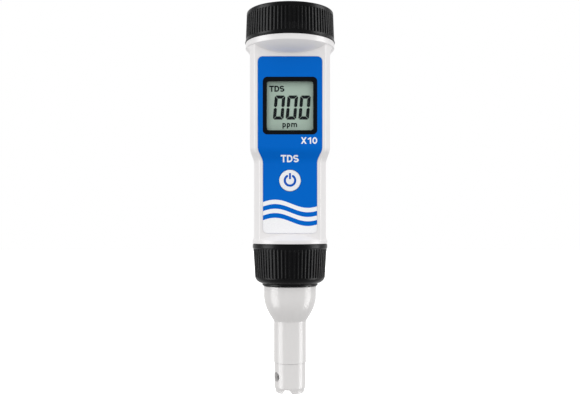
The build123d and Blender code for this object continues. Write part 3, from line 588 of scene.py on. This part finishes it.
def battery_cap():
    """The screw cap: a lip, a ribbed and slightly conical skirt, and a rounded top edge."""
    ribs, groove = 74, 0.85 * mm
    rim, top, lip_r = cap_low.z, cap_high.z, cap_high.x
    lip, lip_step, lip_round = 1.6 * mm, 0.32 * mm, 0.25 * mm
    edge, plain_band, draft = 0.9 * mm, 1.0 * mm, 0.44 * mm
    side_r, side_foot, side_top = lip_r - lip_step, rim + lip, top - edge
    rib_head = side_top - plain_band

    def radius_of(z):
        return side_r - draft * (z - side_foot) / (side_top - side_foot)

    top_r, flat_r = radius_of(side_top), 6 * mm
    slope = [(side_r + 0.02 * mm, rim + 0.75 * lip), (lip_r - 0.05 * mm, rim + 0.35 * mm)]
    profile = [(0, top), (flat_r, top), (top_r - 2 * edge, top)]
    profile += reversed(arc((top_r - edge, side_top), edge, 0, 90, 8))
    profile += reversed(skirt(side_foot, rib_head, radius_of, groove / 2))
    profile += slope
    profile += reversed(arc((lip_r - lip_round, rim + lip_round), lip_round, -90, 0, 5))

    # Inside, from the mouth over the seal's seat to the ceiling and the contact plate's stud
    chamfer, corner, soft = 0.2 * mm, 1 * mm, 0.3 * mm
    seal_r, seal_top = 18.35 * mm, rim + 3.4 * mm
    bore_r, bore_foot, ceiling = 17.9 * mm, rim + 3.85 * mm, top - 2.4 * mm
    boss_r, boss_foot = 4 * mm, ceiling - 1.05 * mm
    stud_r, stud_foot = 1.6 * mm, ceiling - 1.6 * mm
    head_r, head_foot = 2.6 * mm, ceiling - 1.9 * mm
    profile += [
        (seal_r + chamfer, rim), (seal_r, rim + chamfer), (seal_r, seal_top),
        (bore_r, bore_foot), (bore_r, ceiling - corner), (bore_r - soft, ceiling - soft),
        (bore_r - corner, ceiling), (boss_r + soft, ceiling), (boss_r, ceiling - soft),
        (boss_r, boss_foot), (stud_r, boss_foot), (stud_r, stud_foot),
        (head_r, stud_foot), (head_r, head_foot), (0, head_foot),
    ]
    ribbed_piece("ribbed_cap", "battery_cap", "cap", profile, ribs, groove, side_r,
                 side_foot, rib_head)


def collar_nut():
    """The nut: a rounded foot, a ribbed cone and a plain bead at its mouth."""
    ribs, groove = 60, 0.9 * mm
    foot, top, bead_r = collar_low.z, collar_high.z, collar_high.x
    high_r, low_r = bead_r - 0.3 * mm, bead_r - 1.07 * mm
    bead_foot, rib_foot = top - 2 * mm, foot + 3.9 * mm
    neck_round, bead_round, foot_round = 0.3 * mm, 0.6 * mm, 0.45 * mm
    rib_head = bead_foot - neck_round

    def radius_of(z):
        return low_r + (high_r - low_r) * (z - rib_foot) / (bead_foot - rib_foot)

    hole_r, hole_edge = 11.6 * mm, 0.2 * mm
    bore_r, bore_edge, web = 14.4 * mm, 0.25 * mm, foot + 2.9 * mm
    ring_r, ring_top = 12.65 * mm, foot + 1.0 * mm
    groove_r, groove_top = ring_r + 0.1 * mm, ring_top + 0.15 * mm
    step, belly = (13.25 * mm, foot + 1.3 * mm), (low_r - 1.05 * mm, foot + 2.15 * mm)
    profile = [(hole_r, foot + hole_edge), (hole_r + hole_edge, foot)]
    profile += arc((ring_r - foot_round, foot + foot_round), foot_round, -90, 0, 6)
    profile += [(ring_r, ring_top), (groove_r, groove_top)]
    profile += three_point_arc(step, belly, (low_r, rib_foot), 12)[:-1]
    profile += skirt(rib_foot, rib_head, radius_of, groove / 2)
    profile += arc((high_r, bead_foot + neck_round), neck_round, -60, -10, 4)
    profile += arc((bead_r - bead_round, top - bead_round), bead_round, 0, 90, 7)
    profile += [(bore_r + bore_edge, top), (bore_r, top - bore_edge), (bore_r, web),
                (hole_r, web)]
    ribbed_piece("ribbed_collar", "collar_nut", "collar", profile, ribs, groove, high_r,
                 rib_foot, rib_head, closed=True)


def screw_thread(name, body, finish_name, radius, foot, turns, ridge):
    sizes = {"Turns": turns, "Radius": radius, "Pitch": thread_pitch, "Foot": foot,
             "Ridge": ridge}
    mesh_data = grown(bpy.data.meshes.new(name), threaded[finish_name], **sizes)
    shaded(mesh_data)
    shape = bmesh.new()
    shape.from_mesh(mesh_data)
    bmesh.ops.recalc_face_normals(shape, faces=shape.faces)
    shape.to_mesh(mesh_data)
    shape.free()
    object_from(mesh_data, name, body, finish_name)


def screw_threads():
    """The threads of the two necks, the cap and the nut."""
    # Radius, foot, turns and ridge of each, with the lengths in mm
    for name, body, slot, finish_name, radius, foot, turns, ridge in (
        ("top_neck_thread", "body", "white_plastic", "white", 17.4, 162.0, 1.45, 0.28),
        ("cap_thread", "cap", "black_plastic", "black", 17.9, 163.5, 1.45, 0.28),
        ("foot_neck_thread", "body", "white_plastic", "white", 14.0, 57.0, 2.6, 0.24),
        ("collar_thread", "collar", "black_plastic", "black", 14.4, 55.5, 3.0, 0.24),
    ):
        screw_thread(name, body, finish_name, radius * mm, foot * mm, turns, ridge * mm)


def print_on(mesh_data, name, body, finish_name, depth_at):
    """Lays a flat print, drawn in x and z, as a thin skin at the depths that a rule gives."""
    for vertex in mesh_data.vertices:
        vertex.co.y = depth_at(vertex.co.x, vertex.co.z) - ink
    piece = loose(mesh_data)
    skin = piece.modifiers.new("skin", "SOLIDIFY")
    skin.thickness = 2 * ink
    skin.offset = -1
    object_from(finished_mesh(piece), name, body, finish_name)


def flat_mesh(polygons):
    """Faces towards the front from outlines in x and z."""
    shape = bmesh.new()
    for polygon in polygons:
        shape.faces.new([shape.verts.new((x, 0, z)) for x, z in polygon])
    bmesh.ops.remove_doubles(shape, verts=shape.verts, dist=0.001 * mm)
    for face in shape.faces:
        face.normal_update()
        if face.normal.y > 0:
            face.normal_flip()
    mesh_data = bpy.data.meshes.new("flat")
    shape.to_mesh(mesh_data)
    shape.free()
    return mesh_data


def box(x0, z0, x1, z1):
    return [(x0, z0), (x1, z0), (x1, z1), (x0, z1)]


def stroke(path, width):
    """Faces along a path, as wide as the stroke of a pen."""
    points = [Vector(point) for point in path]
    last = len(points) - 1
    sides = []
    for number, point in enumerate(points):
        along = (points[min(number + 1, last)] - points[max(number - 1, 0)]).normalized()
        across = Vector((-along.y, along.x)) * width / 2
        sides.append((point + across, point - across))
    return [[a[0], a[1], b[1], b[0]] for a, b in zip(sides, sides[1:])]


# Each sign gives its width and its faces, in a height of 1 with a stroke of s
def letter_t(s):
    width = 0.8
    return width, [box(0, 1 - s, width, 1), box((width - s) / 2, 0, (width + s) / 2, 1 - s)]


def letter_d(s):
    width, shoulder = 0.8, 0.36
    bowl = oval((shoulder, 0.5), (width - shoulder - s / 2, 0.5 - s / 2), 90, -90, 18)
    return width, [box(0, 0, s, 1), *stroke([(s, 1 - s / 2), *bowl, (s, s / 2)], s)]


def letter_s(s):
    width, tip, spine = 0.8, 28, 262
    reach = ((width - s) / 2, (1 - s) / 4)
    upper = oval((width / 2, 0.5 + reach[1]), reach, tip, spine, 18)
    lower = oval((width / 2, 0.5 - reach[1]), reach, spine - 180, tip - 180, 18)
    return width, stroke(upper + lower, s)


def letter_x(s):
    width, foot = 0.86, 1.2 * s
    half, side = width / 2, (width - foot) / 2
    low = (half - foot) / (width - foot)
    right = [(half, low), (width - foot, 0), (width, 0), (width - side, 0.5), (width, 1),
             (width - foot, 1)]
    return width, [right + [(width - x, 1 - z) for x, z in right]]


def letter_p(s):
    width, opening = 0.86, 122
    reach = ((width - s) / 2, (1 - s) / 2)
    bowl = oval((width / 2, 0.5), reach, opening, -opening, 24)
    return width, [box(0, -tail, s, 1), *stroke(bowl, s)]


def letter_m(s):
    width, spring, root = 1.46, 0.6, 152
    reach = ((width - s) / 4, 1 - s / 2 - spring)
    faces = [box(0, 0, s, 1)]
    for leg in ((width - s) / 2, width - s):
        faces += stroke(oval((leg + s / 2 - reach[0], spring), reach, root, 0, 12), s)
        faces.append(box(leg, 0, leg + s, spring))
    return width, faces


def figure_one(s):
    width, flag_top, flag_foot, flag_root = 0.5, 0.78, 0.6, 0.72
    return width, [[(width - s, 0), (width, 0), (width, 1), (width - 0.8 * s, 1),
                    (0, flag_top), (0, flag_foot), (width - s, flag_root)]]


def figure_nought(s):
    width = 0.74
    return width, stroke(oval((width / 2, 0.5), ((width - s) / 2, (1 - s) / 2), 0, 360, 36), s)


letters = {"T": letter_t, "D": letter_d, "S": letter_s, "X": letter_x, "1": figure_one,
           "0": figure_nought, "p": letter_p, "m": letter_m}


def words(text, low_corner, high_corner, share, descender=0, cuts=0):
    """Lettering that fills a box in x and z, in mm, with a stroke of a share of its height.

    Cuts lets the lettering follow a bent face: it is cut into that many rows."""
    (x0, z0), (x1, z1) = ((x * mm, z * mm) for x, z in (low_corner, high_corner))
    height = (z1 - z0) / (1 + descender)
    drawn = [letters[sign](share) for sign in text]
    gap = (x1 - x0 - height * sum(width for width, faces in drawn)) / (len(drawn) - 1)
    polygons, left, base = [], x0, z0 + descender * height
    for width, faces in drawn:
        polygons += [[(left + x * height, base + z * height) for x, z in face] for face in faces]
        left += width * height + gap
    mesh_data = flat_mesh(polygons)
    shape = bmesh.new()
    shape.from_mesh(mesh_data)
    for cut in range(1, cuts):
        level = z0 + (z1 - z0) * cut / cuts
        everything = shape.verts[:] + shape.edges[:] + shape.faces[:]
        bmesh.ops.bisect_plane(shape, geom=everything, plane_co=(0, 0, level),
                               plane_no=(0, 0, 1))
    shape.to_mesh(mesh_data)
    shape.free()
    return mesh_data


def zero_digit(left, foot, width, height, line, gap, slant):
    """The six lit segments of a slanted seven-segment nought."""
    corner, point, middle = 0.4 * line, 0.32 * line, height / 2
    upright = [
        (0, height - corner - gap), (corner / 2, height - corner / 2 - gap),
        (line, height - line - gap), (line, middle + gap + point),
        (line / 2, middle + gap), (0, middle + gap + point),
    ]
    bar = [
        (corner + gap, height), (corner / 2 + gap, height - corner / 2),
        (line + gap, height - line), (width - line - gap, height - line),
        (width - corner / 2 - gap, height - corner / 2), (width - corner - gap, height),
    ]
    segments = [bar, [(x, height - z) for x, z in bar]]
    for flip_x in (False, True):
        for flip_z in (False, True):
            segments.append([(width - x if flip_x else x, height - z if flip_z else z)
                             for x, z in upright])
    return [[(left + x + z * slant, foot + z) for x, z in segment] for segment in segments]


def display_print():
    """Three noughts and two words on the glass."""
    first_left, digit_step, digit_foot = -7.62 * mm, 5.63 * mm, 122.37 * mm
    digit_width, digit_height, slant = 4.7 * mm, 10.66 * mm, 0.0872
    segment, gap = 1.42 * mm, 0.1 * mm
    digits = []
    for place in range(3):
        left = first_left + digit_step * place
        digits += zero_digit(left, digit_foot, digit_width, digit_height, segment, gap, slant)

    def at_glass(x, z):
        return glass_low.y

    for name, flat in (
        ("display_digits", flat_mesh(digits)),
        ("display_quantity", words("TDS", (-9.18, 134.66), (-2.46, 137.36), 0.23)),
        ("display_unit", words("ppm", (-3.34, 118.4), (3.16, 120.86), 0.29, descender=tail)),
    ):
        print_on(flat, name, "body", "display_ink", at_glass)


def wave_height(x, peak):
    """The height of a wave line, from its height at the peak."""
    peak_x, fall, half_wave = -6.6 * mm, 3.64 * mm, 14.5 * mm
    return peak - fall / 2 * (1 - cos(pi * (x - peak_x) / half_wave))


def waves():
    """Two white bands and the label's white foot, with waved edges."""
    half, foot, corner, steps = 11.95 * mm, label_low.z + 0.01 * mm, 2.02 * mm, 96
    # Closer together at the label's sides, where its corners are round
    columns = [-half * cos(pi * step / steps) for step in range(steps + 1)]

    def foot_height(x):
        beyond = max(abs(x) - (half - corner), 0)
        return foot + corner - sqrt(max(corner**2 - beyond**2, 0))

    faces = []
    # The peaks of each band's upper and lower edge, in mm
    for upper, lower in ((86.94, 85.02), (82.93, 81.02), (78.93, None)):
        for sides in zip(columns, columns[1:]):
            tops = [(x, wave_height(x, upper * mm)) for x in sides]
            feet = [(x, wave_height(x, lower * mm) if lower else foot_height(x)) for x in sides]
            faces.append([feet[0], feet[1], tops[1], tops[0]])
    return flat_mesh(faces)


def label_prints():
    """The scale, the quantity and the waves, laid on the label's film."""
    label_mesh = frame["nodes"]["front_label"].data
    corners = [vertex.co for vertex in label_mesh.vertices]
    label = BVHTree.FromPolygons(corners, [tuple(face.vertices) for face in label_mesh.polygons])
    in_front, inwards = -50 * mm, Vector((0, 1, 0))

    def at_label(x, z):
        spot = label.ray_cast(Vector((x, in_front, z)), inwards)[0]
        if spot is None:
            spot = label.find_nearest(Vector((x, label_low.y, z)))[0]
        return spot.y

    for name, flat in (
        ("label_scale", words("X10", (4.81, 111.4), (11.97, 114.3), 0.2)),
        ("label_quantity", words("TDS", (-4.08, 103.5), (3.86, 106.6), 0.205, cuts=12)),
        ("label_waves", waves()),
    ):
        print_on(flat, name, "body", "white_ink", at_label)


def key_print():
    """The on and off sign: an open ring with round ends, and a bar."""
    ring_z, ring_r, line, opening = 95.44 * mm, 2.295 * mm, 1.0 * mm, radians(34)
    ring_steps, end_steps = 64, 12
    inner, outer, swept = ring_r - line / 2, ring_r + line / 2, tau - 2 * opening
    turns = [opening + swept * step / ring_steps for step in range(ring_steps + 1)]
    ring = []
    for first, second in zip(turns, turns[1:]):
        ring.append([(radius * sin(turn), ring_z + radius * cos(turn)) for radius, turn in
                     ((inner, first), (outer, first), (outer, second), (inner, second))])
    for turn, way in ((opening, -1), (tau - opening, 1)):
        x, z = ring_r * sin(turn), ring_z + ring_r * cos(turn)
        swings = [turn + way * pi * step / end_steps for step in range(end_steps + 1)]
        ring.append([(x + line / 2 * sin(s), z + line / 2 * cos(s)) for s in swings])
    half, low, high, soft = 0.44 * mm, 95.97 * mm, 98.71 * mm, 0.15 * mm
    bar = [(-half, low + soft), (-half + soft, low), (half - soft, low), (half, low + soft),
           (half, high - soft), (half - soft, high), (-half + soft, high), (-half, high - soft)]

    def at_key(x, z):
        return key_low.y

    print_on(flat_mesh(ring + [bar]), "key_sign", "key", "blue_ink", at_key)


def carried_over():
    """The pieces whose shape the frame already has."""
    # The edges in mm
    for node, finish_name, edge in (
        ("electrode_body", "module", 0.18), ("probe_guard", "module", 0.2),
        ("display_bezel", "frame", 0.12), ("battery_holder", "black", 0.12),
        ("holder_screws", "steel", 0.05), ("battery_springs", "spring", 0.04),
        ("contact_plate", "spring", 0.04), ("plug_pins", "brass", 0.06),
        ("electrode_socket", "chip", 0.12), ("probe_insulator", "insulator", 0.1),
    ):
        dressed(node, finish_name, edge * mm)
    for node, finish_name in (
        ("housing", "white"), ("front_label", "film"), ("power_key", "key"),
        ("display_lens", "window"), ("lcd_panel", "display"), ("lcd_holder", "inner"),
        ("lcd_connector_strips", "rubber"), ("circuit_board", "board"),
        ("controller_chip", "chip"), ("board_components", "can"), ("switch_body", "chip"),
        ("switch_plunger", "chip"), ("button_cells", "cell"), ("battery_cap_seal", "rubber"),
        ("module_seal", "rubber"), ("guard_seal", "rubber"), ("electrode_pins", "steel"),
        ("temperature_sensor", "steel"),
    ):
        painted(node, finish_name)


def seen_rays(tree):
    """One for rays that show the room itself: from the camera, off a gloss or through glass."""
    rays = tree.tree.nodes.new("ShaderNodeLightPath")
    camera, glossy, through = (Value(tree, rays.outputs[name]) for name in
                               ("Is Camera Ray", "Is Glossy Ray", "Is Transmission Ray"))
    return tree.math("MAXIMUM", camera, tree.math("MAXIMUM", glossy, through))


def floor_finish():
    """A pale matt floor that glows white further out, for the rays that show it."""
    finish = Finish("studio_floor", Base_Color=linear(floor_grey), Roughness=0.9,
                    Specular_IOR_Level=0.1)
    matt = Value(finish, finish.shader.outputs[0])
    x, y, _ = finish.axes(finish.place)
    away = finish.math("SQRT", x * x + y * y)
    level = finish.ramp(away, glow_near, glow_far, floor_glow, 1, smooth=True)
    glow = finish.add("ShaderNodeEmission", inputs={"Color": (1, 1, 1, 1), "Strength": level})
    both = finish.add("ShaderNodeAddShader", inputs={0: matt, 1: glow})
    mix = finish.add("ShaderNodeMixShader", inputs={0: seen_rays(finish), 1: matt, 2: both})
    out = finish.tree.nodes["Material Output"]
    finish.tree.links.new(mix.socket, out.inputs["Surface"])
    return finish.material


def studio():
    """A floor, an even pale room and two tall soft lights at the sides."""
    floor = bpy.data.meshes.new("floor")
    outline = box(-floor_half, -floor_half, floor_half, floor_half)
    floor.from_pydata([(x, y, floor_level) for x, y in outline], [], [(0, 1, 2, 3)])
    floor.materials.append(floor_finish())
    ground = bpy.data.objects.new("floor", floor)
    bpy.context.scene.collection.objects.link(ground)
    ground.visible_glossy = ground.visible_shadow = False

    world = bpy.data.worlds.new("room")
    bpy.context.scene.world = world
    world.use_nodes = True
    room = Tree(world.node_tree)
    background = world.node_tree.nodes["Background"]
    level = seen_rays(room) * (1 - room_level) + room_level
    world.node_tree.links.new(level.socket, background.inputs["Strength"])
    background.inputs["Color"].default_value = (1, 1, 1, 1)

    for name, turn, width in lamps:
        light = bpy.data.lights.new(name, "AREA")
        light.shape = "RECTANGLE"
        light.size, light.size_y = width, lamp_length
        light.energy = lamp_level * pi * width * lamp_length
        lamp = bpy.data.objects.new(name, light)
        aside, ahead = lamp_distance * sin(radians(turn)), lamp_distance * cos(radians(turn))
        lamp.location = (aside, -ahead, lamp_height)
        lamp.rotation_euler = Vector((-aside, ahead, 0)).to_track_quat("-Z", "Y").to_euler()
        lamp.visible_diffuse = False
        bpy.context.scene.collection.objects.link(lamp)


def place_camera():
    """A level camera in front of the pen, shifted to the picture's framing."""
    camera = bpy.data.cameras.new("camera")
    camera.sensor_width = 36
    camera.lens = camera.sensor_width * focal_pixels / picture_width
    camera.shift_y = horizon_below_middle / picture_width
    camera.clip_start = 0.01
    viewer = bpy.data.objects.new("camera", camera)
    viewer.location = (0, -eye_distance, eye_height)
    viewer.rotation_euler = (radians(90), 0, 0)
    bpy.context.scene.collection.objects.link(viewer)
    bpy.context.scene.camera = viewer


carried_over()
battery_cap()
collar_nut()
screw_threads()
display_print()
label_prints()
key_print()
studio()
place_camera()
bpy.context.scene.view_settings.view_transform = "Standard"
